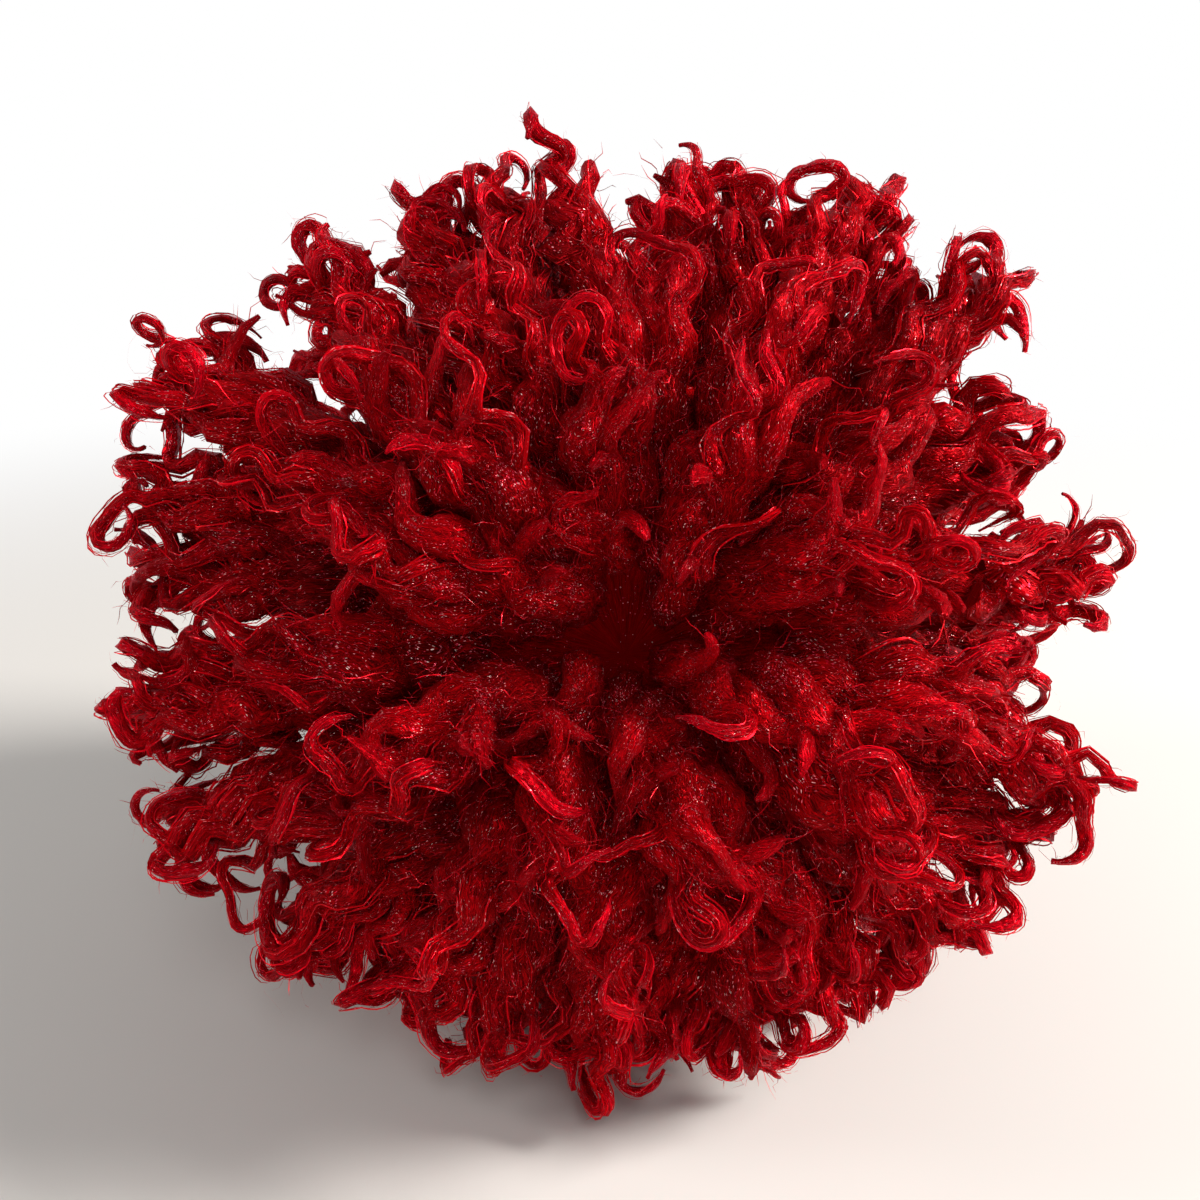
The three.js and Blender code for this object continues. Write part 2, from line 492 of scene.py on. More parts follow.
def fibre_tree():
    """Lock lines in, ribbons out: fine fibres round each line, frizzed and cut at odd lengths."""
    tree, given, output = new_tree("fibres round locks", {
        "Fibres": ("NodeSocketInt", 9),
        "Width": ("NodeSocketFloat", 0.2 * MM),
        "Frizz": ("NodeSocketFloat", 1.3 * MM),
        "Frizz Scale": ("NodeSocketFloat", 520.0),
        "Stray": ("NodeSocketFloat", 0.35),
        "Shortest": ("NodeSocketFloat", 0.8),
        "Seed": ("NodeSocketInt", SEED),
        "Material": ("NodeSocketMaterial", None),
    })
    lines = made(tree, "GeometryNodeMeshToCurve", Mesh=given["Geometry"])
    many = made(tree, "GeometryNodeDuplicateElements", {"domain": "SPLINE"}, Geometry=lines,
                Amount=given["Fibres"])
    fibre = made(tree, "GeometryNodeCurveOfPoint")
    seed = given["Seed"]

    def draw(low, high, n):
        return random_per(tree, fibre, low, high, plus(tree, seed, n))

    along = named_number(tree, "along")
    loose = named_number(tree, "loose")
    side = named_vector(tree, "side")
    tangent = made(tree, "GeometryNodeInputTangent")
    other = vector(tree, "CROSS_PRODUCT", tangent, side)
    stray = number(tree, "POWER", draw(0.0, 1.0, 1), 5.0)
    angle = plus(tree, draw(0.0, 2 * math.pi, 2), times(tree, along, draw(-4.0, 4.0, 8)))
    reach = plus(tree, draw(0.75, 0.98, 3), times(tree, stray, given["Stray"]))
    reach = times(tree, reach, plus(tree, 1.0, times(tree, loose, 0.3)))
    up, over = number(tree, "SINE", angle), number(tree, "COSINE", angle)
    outward = vector(tree, "ADD", scaled(tree, side, times(tree, up, named_number(tree, "thick"))),
                     scaled(tree, other, times(tree, over, named_number(tree, "wide"))))
    place = made(tree, "GeometryNodeInputPosition")
    noise = put(tree, "ShaderNodeTexNoise", {"noise_dimensions": "4D"}, Vector=place,
                W=draw(0.0, 900.0, 4), Scale=given["Frizz Scale"], Detail=1.0).outputs["Color"]
    wild = plus(tree, plus(tree, 0.25, loose), times(tree, stray, 1.0))
    frizz = scaled(tree, vector(tree, "SUBTRACT", noise, (0.5, 0.5, 0.5)),
                   times(tree, given["Frizz"], wild))
    moved = vector(tree, "ADD", frizz, scaled(tree, outward, reach))
    there = put(tree, "ShaderNodeSeparateXYZ", Vector=vector(tree, "ADD", place, moved))
    above = made(tree, "ShaderNodeCombineXYZ", X=there.outputs["X"], Y=there.outputs["Y"],
                 Z=number(tree, "MAXIMUM", there.outputs["Z"], FLOOR_GAP))
    end = less(tree, 1.0,
               times(tree, less(tree, 1.0, given["Shortest"]),
                     number(tree, "POWER", draw(0.0, 1.0, 5), 2.0)))
    level = vector(tree, "ADD", scaled(tree, side, up), scaled(tree, other, over))
    tipped = scaled(tree, vector(tree, "CROSS_PRODUCT", tangent, level), draw(-0.8, 0.8, 6))
    faced = vector(tree, "ADD", level, tipped)
    kept_curve, kept = capture(tree, many, facing=("VECTOR", faced), tone=("FLOAT", draw(0.0, 1.0, 7)),
                               end=("FLOAT", end), girth=("FLOAT", draw(0.65, 1.35, 9)))
    shifted = made(tree, "GeometryNodeSetPosition", Geometry=kept_curve, Position=above)
    past = made(tree, "FunctionNodeCompare", {"data_type": "FLOAT", "operation": "GREATER_THAN"},
                A=along, B=kept["end"])
    cut = put(tree, "GeometryNodeDeleteGeometry", {"domain": "POINT"}, Geometry=shifted, Selection=past)
    turned = made(tree, "GeometryNodeSetCurveNormal", {"mode": "FREE"}, Curve=cut.outputs["Geometry"],
                  Normal=kept["facing"])
    profile, edge = strip_profile(tree, given["Width"])
    spent = ratio(tree, along, kept["end"])
    slim = less(tree, 1.0, times(tree, number(tree, "POWER", spent, 8.0), 0.8))
    slim = times(tree, slim, kept["girth"])
    mesh = put(tree, "GeometryNodeCurveToMesh", Curve=turned, Profile_Curve=profile, Scale=slim)
    u = fibre_place(tree, kept["tone"], edge["across"], 1.0)
    finish_tree(tree, mesh.outputs["Mesh"], u, along, given["Material"], output)
    return tree


def strip_profile(tree, width):
    """The cross line of a ribbon, with a number from 0 to 1 across it."""
    half = times(tree, width, 0.5)
    left = made(tree, "ShaderNodeCombineXYZ", X=times(tree, half, -1.0))
    right = made(tree, "ShaderNodeCombineXYZ", X=half)
    strip = put(tree, "GeometryNodeCurvePrimitiveLine", {"mode": "POINTS"}, Start=left, End=right)
    factor = made(tree, "GeometryNodeSplineParameter")
    return capture(tree, strip.outputs["Curve"], across=("FLOAT", factor))


def body_tree():
    """Lock lines in, closed bodies out: flat and broad near the root, a round rope at the hook."""
    tree, given, output = new_tree("bodies of locks", {
        "Sides": ("NodeSocketInt", 4),
        "Fill": ("NodeSocketFloat", 0.85),
        "Lumps": ("NodeSocketFloat", 1.3),
        "Lump Scale": ("NodeSocketFloat", 420.0),
        "Material": ("NodeSocketMaterial", None),
    })
    lines = made(tree, "GeometryNodeMeshToCurve", Mesh=given["Geometry"])
    lock = made(tree, "GeometryNodeCurveOfPoint")
    side = named_vector(tree, "side")
    tangent = made(tree, "GeometryNodeInputTangent")
    place = made(tree, "GeometryNodeInputPosition")
    upright = made(tree, "GeometryNodeSetCurveNormal", {"mode": "FREE"}, Curve=lines, Normal=side)
    kept_curve, kept = capture(tree, upright, centre=("VECTOR", place), side=("VECTOR", side),
                               other=("VECTOR", vector(tree, "CROSS_PRODUCT", tangent, side)),
                               onward=("VECTOR", tangent),
                               band=("FLOAT", random_per(tree, lock, 0.0, MAP_BANDS - 0.001, 5)))
    ring = made(tree, "GeometryNodeCurvePrimitiveCircle", {"mode": "RADIUS"},
                Resolution=given["Sides"], Radius=1.0)
    factor = made(tree, "GeometryNodeSplineParameter")
    profile, edge = capture(tree, ring, around=("FLOAT", factor))
    mesh = made(tree, "GeometryNodeCurveToMesh", Curve=kept_curve, Profile_Curve=profile, Scale=1.0 * MM,
                Fill_Caps=True)
    angle = times(tree, edge["around"], 2 * math.pi)
    lifted = scaled(tree, kept["side"], times(tree, number(tree, "COSINE", angle),
                                              named_number(tree, "thick")))
    spread = scaled(tree, kept["other"], times(tree, number(tree, "SINE", angle),
                                               named_number(tree, "wide")))
    offset = vector(tree, "ADD", lifted, spread)
    surface = vector(tree, "ADD", kept["centre"], offset)
    lumps = made(tree, "ShaderNodeTexNoise", {"noise_dimensions": "4D"}, Vector=surface, W=kept["band"],
                 Scale=given["Lump Scale"], Detail=1.0)
    lump = times(tree, less(tree, lumps, 0.5), given["Lumps"])
    swell = times(tree, plus(tree, 1.0, lump), given["Fill"])
    shaped = put(tree, "GeometryNodeSetPosition", Geometry=mesh,
                 Position=vector(tree, "ADD", kept["centre"], scaled(tree, offset, swell)))
    leaning = vector(tree, "ADD", kept["onward"], scaled(tree, vector(tree, "NORMALIZE", offset), 0.2))
    shaped = put(tree, "GeometryNodeStoreNamedAttribute",
                 {"data_type": "FLOAT_VECTOR", "domain": "POINT"},
                 Geometry=shaped.outputs["Geometry"], Name="combed", Value=leaning)
    mirrored = number(tree, "ABSOLUTE", less(tree, times(tree, edge["around"], 2.0), 1.0))
    inset = plus(tree, 0.02, times(tree, mirrored, 0.96))
    u = ratio(tree, plus(tree, number(tree, "FLOOR", kept["band"]), inset), float(MAP_BANDS))
    finish_tree(tree, shaped.outputs["Geometry"], u, named_number(tree, "along"),
                given["Material"], output)
    return tree


def fluff_tree():
    """A surface in, loose crinkled fibres out, each along the surface's combed way."""
    tree, given, output = new_tree("fluff on a surface", {
        "Density": ("NodeSocketFloat", 85000.0),
        "Shortest": ("NodeSocketFloat", 14 * MM),
        "Longest": ("NodeSocketFloat", 28 * MM),
        "Steps": ("NodeSocketInt", 18),
        "Width": ("NodeSocketFloat", 0.17 * MM),
        "Crinkle": ("NodeSocketFloat", 3.0 * MM),
        "Crinkle Scale": ("NodeSocketFloat", 260.0),
        "Wander": ("NodeSocketFloat", 10.0 * MM),
        "Curl": ("NodeSocketFloat", 1.0 * MM),
        "Turns": ("NodeSocketFloat", 1.5),
        "Lean": ("NodeSocketFloat", 0.35),
        "Seed": ("NodeSocketInt", SEED),
        "Material": ("NodeSocketMaterial", None),
    })
    spread = put(tree, "GeometryNodeDistributePointsOnFaces", {"distribute_method": "RANDOM"},
                 Mesh=given["Geometry"], Density=given["Density"],
                 Seed=given["Seed"])
    seed = given["Seed"]
    index = made(tree, "GeometryNodeInputIndex")
    combed = put(tree, "GeometryNodeInputNamedAttribute", {"data_type": "FLOAT_VECTOR"}, Name="combed")
    rooted = made(tree, "GeometryNodeInputPosition")
    # how far out from the middle each fibre grows, which sets its painted shade
    far = vector(tree, "LENGTH", vector(tree, "SUBTRACT", rooted, tuple(MIDDLE)))
    outness = made(tree, "ShaderNodeMapRange", {"clamp": True}, Value=far, From_Min=DEEP, From_Max=OUTER,
                   To_Min=0.0, To_Max=1.0)
    grown, root = capture(tree, spread.outputs["Points"], outness=("FLOAT", outness))
    jitter = put(tree, "FunctionNodeRandomValue", {"data_type": "FLOAT_VECTOR"}, Min=(-1.0, -1.0, -1.0),
                 Max=(1.0, 1.0, 1.0), ID=index, Seed=plus(tree, seed, 1))
    jitter = next(s for s in jitter.outputs if s.enabled)
    aimed = vector(tree, "ADD", combed.outputs["Attribute"], scaled(tree, jitter, given["Lean"]))
    turned = made(tree, "FunctionNodeAlignRotationToVector", {"axis": "Z"}, Vector=aimed)
    length = random_per(tree, index, given["Shortest"], given["Longest"],
                        plus(tree, seed, 2))
    straight = put(tree, "GeometryNodeCurvePrimitiveLine", {"mode": "POINTS"}, Start=(0, 0, 0),
                   End=(0, 0, 1))
    fine = put(tree, "GeometryNodeResampleCurve", {"mode": "COUNT"}, Curve=straight.outputs["Curve"],
               Count=given["Steps"])
    placed = put(tree, "GeometryNodeInstanceOnPoints", Points=grown,
                 Instance=fine.outputs["Curve"], Rotation=turned, Scale=length)
    hairs = made(tree, "GeometryNodeRealizeInstances", Geometry=placed.outputs["Instances"])
    hair = made(tree, "GeometryNodeCurveOfPoint")
    along = made(tree, "GeometryNodeSplineParameter")
    place = made(tree, "GeometryNodeInputPosition")
    own = random_per(tree, hair, 0.0, 900.0, plus(tree, seed, 4))

    def shaken(scale, size):
        noise = put(tree, "ShaderNodeTexNoise", {"noise_dimensions": "4D"}, Vector=place, W=own,
                    Scale=scale, Detail=1.0).outputs["Color"]
        return scaled(tree, vector(tree, "SUBTRACT", noise, (0.5, 0.5, 0.5)), size)

    facing = put(tree, "FunctionNodeRandomValue", {"data_type": "FLOAT_VECTOR"}, Min=(-1.0, -1.0, -1.0),
                 Max=(1.0, 1.0, 1.0), ID=hair, Seed=plus(tree, seed, 5))
    facing = next(s for s in facing.outputs if s.enabled)
    onward = made(tree, "GeometryNodeInputTangent")
    one = vector(tree, "NORMALIZE", vector(tree, "CROSS_PRODUCT", onward, facing))
    two = vector(tree, "CROSS_PRODUCT", onward, one)
    turns = times(tree, given["Turns"],
                  random_per(tree, hair, 0.4, 1.6, plus(tree, seed, 7)))
    spin = times(tree, times(tree, along, turns), 2 * math.pi)
    opened = times(tree, given["Curl"], times(tree, along, random_per(
        tree, hair, 0.5, 1.5, plus(tree, seed, 8))))
    ring = vector(tree, "ADD", scaled(tree, one, number(tree, "COSINE", spin)),
                  scaled(tree, two, number(tree, "SINE", spin)))
    rise = number(tree, "POWER", along, 0.7)
    bent = vector(tree, "ADD", shaken(given["Crinkle Scale"], given["Crinkle"]),
                  scaled(tree, shaken(45.0, given["Wander"]), rise))
    bent = vector(tree, "ADD", bent, scaled(tree, ring, opened))
    there = put(tree, "ShaderNodeSeparateXYZ", Vector=vector(tree, "ADD", place, bent))
    above = made(tree, "ShaderNodeCombineXYZ", X=there.outputs["X"], Y=there.outputs["Y"],
                 Z=number(tree, "MAXIMUM", there.outputs["Z"], FLOOR_GAP))
    kept_curve, kept = capture(tree, hairs, facing=("VECTOR", facing), along=("FLOAT", along),
                               outness=("FLOAT", root["outness"]),
                               tone=("FLOAT", random_per(tree, hair, 0.0, 1.0, plus(tree, seed, 6))))
    shifted = made(tree, "GeometryNodeSetPosition", Geometry=kept_curve, Position=above)
    set_way = made(tree, "GeometryNodeSetCurveNormal", {"mode": "FREE"}, Curve=shifted,
                   Normal=kept["facing"])
    profile, edge = strip_profile(tree, given["Width"])
    slim = less(tree, 1.0, times(tree, number(tree, "POWER", kept["along"], 6.0), 0.8))
    mesh = put(tree, "GeometryNodeCurveToMesh", Curve=set_way, Profile_Curve=profile, Scale=slim)
    u = fibre_place(tree, kept["tone"], edge["across"], kept["outness"])
    finish_tree(tree, mesh.outputs["Mesh"], u, kept["along"], given["Material"], output)
    return tree


def line_mesh(name, locks):
    """Carries lock centre lines as a mesh of edges with their sizes."""
    mesh = bpy.data.meshes.new(name)
    points = np.concatenate([lock["line"] for lock in locks])
    counts = [len(lock["line"]) for lock in locks]
    starts = np.cumsum([0] + counts[:-1])
    edges = np.concatenate([np.arange(s, s + n - 1) for s, n in zip(starts, counts)])
    mesh.from_pydata(points.tolist(), np.stack([edges, edges + 1], axis=1).tolist(), [])
    for key in ("along", "wide", "thick", "loose"):
        values = np.concatenate([lock[key] for lock in locks]).astype(np.float32)
        mesh.attributes.new(key, "FLOAT", "POINT").data.foreach_set("value", values)
    sides = np.concatenate([lock["side"] for lock in locks]).astype(np.float32)
    mesh.attributes.new("side", "FLOAT_VECTOR", "POINT").data.foreach_set("vector", sides.ravel())
    return mesh


def grow(name, tree, carrier_mesh, settings):
    """Runs a tree on a mesh and returns the plain mesh object it makes."""
    carrier = bpy.data.objects.new(name + " carrier", carrier_mesh)
    bpy.context.scene.collection.objects.link(carrier)
    modifier = carrier.modifiers.new("grow", "NODES")
    modifier.node_group = tree
    for item in tree.interface.items_tree:
        if item.in_out == "INPUT" and item.name in settings:
            modifier[item.identifier] = settings[item.name]
    depsgraph = bpy.context.evaluated_depsgraph_get()
    mesh = bpy.data.meshes.new_from_object(carrier.evaluated_get(depsgraph))
    mesh.name = name
    piece = bpy.data.objects.new(name, mesh)
    bpy.context.scene.collection.objects.link(piece)
    bpy.data.objects.remove(carrier)
    return piece


# ---- materials ----
def shader(name, **values):
    material = bpy.data.materials.new(name)
    material.use_nodes = True
    surface = material.node_tree.nodes["Principled BSDF"]
    for label, value in values.items():
        surface.inputs[label.replace("_", " ")].default_value = value
    return material, material.node_tree, surface


def ramp_between(tree, value, stops):
    """A colour ramp of (place, colour) stops."""
    ramp = tree.nodes.new("ShaderNodeValToRGB")
    while len(ramp.color_ramp.elements) < len(stops):
        ramp.color_ramp.elements.new(0.5)
    for element, (spot, colour) in zip(ramp.color_ramp.elements, stops):
        element.position = spot
        element.color = (*colour, 1)
    tree.links.new(value, ramp.inputs["Fac"])
    return ramp.outputs["Color"]


# colours of the painted glints, from dim red to pinkish white
PAINTED_GLINT_TONES = [(0.0, (0.8, 0.01, 0.05)), (0.4, (1.0, 0.1, 0.18)), (0.75, (1.0, 0.34, 0.38)),
               (1.0, (1.0, 0.88, 0.8))]


def painted_glints(tree, place, dimensions, share):
    """Painted glints, small bright dots painted into the colour where single fibres would catch the
    light: how much, and their colour.
    """
    cells = put(tree, "ShaderNodeTexVoronoi", {"voronoi_dimensions": dimensions, "feature": "F1"},
                Vector=place, Scale=1.0, Randomness=1.0)
    drift = made(tree, "ShaderNodeTexNoise", {"noise_dimensions": dimensions}, Vector=place, Scale=0.05,
                 Detail=1.0)
    chance = put(tree, "ShaderNodeSeparateXYZ", Vector=cells.outputs["Color"])
    lucky = plus(tree, chance.outputs["X"],
                 times(tree, less(tree, drift, 0.5), 0.6))
    size = made(tree, "ShaderNodeMapRange", {"clamp": True}, Value=lucky, From_Min=1 - share,
                From_Max=1.0, To_Min=0.0, To_Max=0.31)
    glint_mask = number(tree, "GREATER_THAN", size, cells.outputs["Distance"])
    return glint_mask, ramp_between(tree, chance.outputs["Y"], PAINTED_GLINT_TONES)


def blended(tree, share, one, two):
    """Colour one where share is 0 and colour two where it is 1."""
    node = tree.nodes.new("ShaderNodeMix")
    node.data_type = "RGBA"
    for socket, value in zip([s for s in node.inputs if s.enabled], (share, one, two)):
        tree.links.new(value, socket)
    return next(s for s in node.outputs if s.enabled)


def raised(tree, surface, height, depth):
    bump = made(tree, "ShaderNodeBump", Height=height, Strength=1.0, Distance=depth)
    feed(tree, surface.inputs["Normal"], bump)


def strands(tree, across, along, width, crimped, slant, shift):
    """Crimped fibres side by side: 1 on a fibre and 0 between, and how far the crimp has swayed."""
    level = made(tree, "ShaderNodeCombineXYZ", X=times(tree, across, 0.35), Y=along, Z=shift)
    crimp = put(tree, "ShaderNodeTexNoise", {"noise_dimensions": "3D"}, Vector=level, Scale=0.55,
                Detail=0.0)
    sway = times(tree, less(tree, crimp.outputs["Fac"], 0.5), crimped)
    swayed = plus(tree, plus(tree, across, sway), times(tree, along, slant))
    stretched = made(tree, "ShaderNodeCombineXYZ", X=ratio(tree, swayed, width),
                     Y=ratio(tree, along, width * 6), Z=shift)
    grain = made(tree, "ShaderNodeTexNoise", {"noise_dimensions": "3D"}, Vector=stretched, Scale=1.0,
                 Detail=1.0, Roughness=0.6)
    strand = made(tree, "ShaderNodeMapRange", {"clamp": True}, Value=grain, From_Min=0.36, From_Max=0.66,
                  To_Min=0.0, To_Max=1.0)
    return strand, swayed


def pile_material(name, girth, length, root_shaded_tones, width, crimped):
    """Crimson pile on its map: two layers of crimped fibres, painted glints, a tone at random for each
    map band, and painted shade towards the root and in the gaps between fibres.

    girth and length are what the map's band and height measure on the piece, width is one fibre's,
    and crimped is how far the crimp sways it, all in millimetres.
    """
    material, tree, surface = shader(name, Metallic=0.38, Roughness=0.34, Specular_IOR_Level=0.05,
                                     Specular_Tint=(1.0, 0.35, 0.5, 1), Sheen_Weight=0.12,
                                     Sheen_Roughness=0.5, Sheen_Tint=(0.8, 0.002, 0.01, 1))
    place = put(tree, "ShaderNodeUVMap", {"uv_map": "OFBake"}).outputs["UV"]
    parts = put(tree, "ShaderNodeSeparateXYZ", Vector=place)
    across = times(tree, parts.outputs["X"], float(MAP_BANDS * girth))
    along = times(tree, parts.outputs["Y"], float(length))
    one, swayed = strands(tree, across, along, width, crimped, 0.25, 3.0)
    two, _ = strands(tree, across, along, width * 0.8, crimped, -0.4, 9.0)
    both = number(tree, "MAXIMUM", one, times(tree, two, 0.85))
    band = number(tree, "FLOOR", times(tree, parts.outputs["X"], float(MAP_BANDS)))
    tone = put(tree, "ShaderNodeTexWhiteNoise", {"noise_dimensions": "1D"}, W=band).outputs["Value"]
    # painted shade: darker in the gaps between the fibres; times a random tone for each band
    light = plus(tree, 0.16, times(tree, both, 0.95))
    light = times(tree, light, plus(tree, 0.75, times(tree, tone, 0.5)))
    # the ramp from root to tip is darker towards the root: painted shade
    colour = scaled(tree, ramp_between(tree, parts.outputs["Y"], root_shaded_tones), light)
    # painted glints along the swayed fibres
    glint_place = made(tree, "ShaderNodeCombineXYZ", X=times(tree, swayed, 5.0), Y=times(tree, along, 2.6))
    glint_mask, painted_glint = painted_glints(tree, glint_place, "2D", 0.25)
    feed(tree, surface.inputs["Base Color"], blended(tree, glint_mask, colour, painted_glint))
    raised(tree, surface, both, 0.35 * MM)
    return material


def fibre_fur_material(name, length):
    """Single fibres: crimson, each a little lighter or darker than the next at random, painted darker
    the deeper they grow and towards their root as painted shade, with painted glints in short bright
    lengths.

    length is what the map's height measures on a fibre, in millimetres.
    """
    material, tree, surface = shader(name, Metallic=0.34, Specular_IOR_Level=0.09, Roughness=0.33,
                                     Specular_Tint=(1.0, 0.35, 0.5, 1))
    place = put(tree, "ShaderNodeUVMap", {"uv_map": "OFBake"}).outputs["UV"]
    parts = put(tree, "ShaderNodeSeparateXYZ", Vector=place)
    across = times(tree, parts.outputs["X"], float(MAP_BANDS))
    own = made(tree, "ShaderNodeTexNoise", {"noise_dimensions": "1D"}, W=across, Scale=90.0, Detail=0.0)
    # painted shade: the band is how deep the fibre grows, and deeper fibres are darker
    outness = ratio(tree, number(tree, "FLOOR", across), MAP_BANDS - 1.0)
    shade = plus(tree, DEEP_SHADE, times(tree, outness, 1 - DEEP_SHADE))
    light = times(tree, shade, plus(tree, 0.4, times(tree, own, 1.4)))
    # the ramp from root to tip is darker towards the root: painted shade
    colour = scaled(tree, ramp_between(tree, parts.outputs["Y"], FIBRE_ROOT_SHADE_TONES), light)
    # painted glints as short bright lengths
    glint_place = made(tree, "ShaderNodeCombineXYZ", X=times(tree, across, 110.0),
                 Y=times(tree, parts.outputs["Y"], length * 1.4))
    glint_mask, painted_glint = painted_glints(tree, glint_place, "2D", 0.32)
    feed(tree, surface.inputs["Base Color"], blended(tree, glint_mask, colour, painted_glint))
    return material


def underfur_material():
    """Crimson mass: matted fibres combed away from the parting, its colour kept dark as painted shade of
    the pile over it, with painted glints.
    """
    material, tree, surface = shader("crimson underfur in painted shade", Roughness=0.5, Specular_IOR_Level=0.03,
                                     Specular_Tint=(1.0, 0.2, 0.28, 1))
    place = put(tree, "ShaderNodeTexCoord").outputs["Object"]
    way = vector(tree, "NORMALIZE", vector(tree, "SUBTRACT", place, tuple(MIDDLE)))
    pole = direction(*PARTING)
    first, second = sides_of(pole)
    one = vector(tree, "DOT_PRODUCT", way, tuple(first))
    two = vector(tree, "DOT_PRODUCT", way, tuple(second))
    tangle = made(tree, "ShaderNodeTexNoise", Vector=place, Scale=240.0, Detail=2.0)
    turn = plus(tree, number(tree, "ARCTAN2", one, two), times(tree, tangle, 0.16))
    fall = number(tree, "ARCCOSINE", vector(tree, "DOT_PRODUCT", way, tuple(pole)))
    combed = made(tree, "ShaderNodeCombineXYZ", X=times(tree, number(tree, "COSINE", turn), 60.0),
                  Y=times(tree, number(tree, "SINE", turn), 60.0),
                  Z=times(tree, fall, 14.0))
    grain = made(tree, "ShaderNodeTexNoise", Vector=combed, Scale=1.0, Detail=4.0, Roughness=0.7)
    # painted shade: a dark ramp for the shade of the pile over the mass, varied by the combed grain
    colour = ramp_between(tree, grain, [(0.36, (0.13, 0.0, 0.0002)), (0.5, (0.32, 0.0001, 0.0013)),
                                        (0.68, (0.58, 0.0004, 0.004))])
    # painted glints
    glint_mask, painted_glint = painted_glints(tree, scaled(tree, place, 3000.0), "3D", 0.14)
    feed(tree, surface.inputs["Base Color"], blended(tree, glint_mask, colour, painted_glint))
    raised(tree, surface, grain, 2.0 * MM)
    return material


# colours from root to tip: darker towards the root, painted shade deep in the pile
ROPE_ROOT_SHADE_TONES = [(0.0, (0.36, 0.0001, 0.002)), (0.5, (0.56, 0.0003, 0.005)), (1.0, (0.78, 0.001, 0.012))]
CLUMP_ROOT_SHADE_TONES = [(0.0, (0.10, 0.0, 0.0003)), (0.4, (0.27, 0.0001, 0.001)), (0.75, (0.56, 0.0003, 0.004)),
               (1.0, (0.72, 0.0005, 0.008))]
FIBRE_ROOT_SHADE_TONES = [(0.0, (0.36, 0.0001, 0.0016)), (0.5, (0.56, 0.0004, 0.005)), (1.0, (0.74, 0.001, 0.011))]


# ---- stage ----
CAMERA_FROM_MIDDLE = (-3.5 * MM, -198 * MM, 76.5 * MM)
CAMERA_DIP = 20


def place_camera():
    data = bpy.data.cameras.new("camera")
    data.lens, data.sensor_width = 36, 36
    data.clip_start = 0.01
    camera = bpy.data.objects.new("camera", data)
    camera.location = Vector(MIDDLE) + Vector(CAMERA_FROM_MIDDLE)
    camera.rotation_euler = (math.radians(90 - CAMERA_DIP), 0, 0)
    bpy.context.scene.collection.objects.link(camera)
    bpy.context.scene.camera = camera


def area_lamp(name, place, aim, size, watts, colour=(1, 1, 1)):
    data = bpy.data.lights.new(name, "AREA")
    data.shape, data.size, data.energy, data.color = "DISK", size, watts, colour
    lamp = bpy.data.objects.new(name, data)
    lamp.location = place
    lamp.rotation_euler = (Vector(place) - Vector(aim)).to_track_quat("Z", "Y").to_euler()
    bpy.context.scene.collection.objects.link(lamp)


def seen_directly(tree):
    """1 for camera, glossy and transmission rays, 0 for light that falls on things."""
    path = tree.nodes.new("ShaderNodeLightPath")
    seen = number(tree, "MAXIMUM", path.outputs["Is Camera Ray"], path.outputs["Is Glossy Ray"])
    return number(tree, "MAXIMUM", seen, path.outputs["Is Transmission Ray"])


def floor_material():
    """Pale and plain; it turns into the white of the room away from the ball."""
    material, tree, surface = shader("pale floor", Base_Color=(0.80, 0.78, 0.75, 1), Roughness=0.8,
                                     Specular_IOR_Level=0.2)
    place = put(tree, "ShaderNodeTexCoord").outputs["Object"]
    away = vector(tree, "LENGTH", place)
    fade = made(tree, "ShaderNodeMapRange", {"clamp": True, "interpolation_type": "SMOOTHSTEP"},
                Value=away, From_Min=0.16, From_Max=0.6)
    glow = tree.nodes.new("ShaderNodeEmission")
    both = tree.nodes.new("ShaderNodeMixShader")
    tree.links.new(times(tree, fade, seen_directly(tree)), both.inputs["Fac"])
    tree.links.new(surface.outputs["BSDF"], both.inputs[1])
    tree.links.new(glow.outputs["Emission"], both.inputs[2])
    tree.links.new(both.outputs["Shader"], tree.nodes["Material Output"].inputs["Surface"])
    return material


def light_and_floor():
    scene = bpy.context.scene
    scene.view_settings.view_transform = "Standard"
    world = bpy.data.worlds.new("pale room")
    scene.world = world
    world.use_nodes = True
    tree = world.node_tree
    background = tree.nodes["Background"]
    strength = plus(tree, times(tree, seen_directly(tree), 1 - ROOM_LIGHT), ROOM_LIGHT)
    background.inputs["Color"].default_value = (1, 1, 1, 1)
    tree.links.new(strength, background.inputs["Strength"])
    aim = (0, 0, 0.07)
    area_lamp("key", (1.06, -0.08, 0.7), aim, 0.4, 23.5, (1, 0.96, 0.92))
    area_lamp("second", (-1.05, -0.1, 0.66), aim, 0.4, 3.8, (1, 0.97, 0.94))
    area_lamp("front", (0.24, -1.1, 1.2), aim, 0.5, 3.2)
    mesh = bpy.data.meshes.new("floor")
    r = 4.0
    mesh.from_pydata([(-r, -r, 0), (r, -r, 0), (r, r, 0), (-r, r, 0)], [], [(0, 1, 2, 3)])
    floor = bpy.data.objects.new("floor", mesh)
    mesh.materials.append(floor_material())
    scene.collection.objects.link(floor)


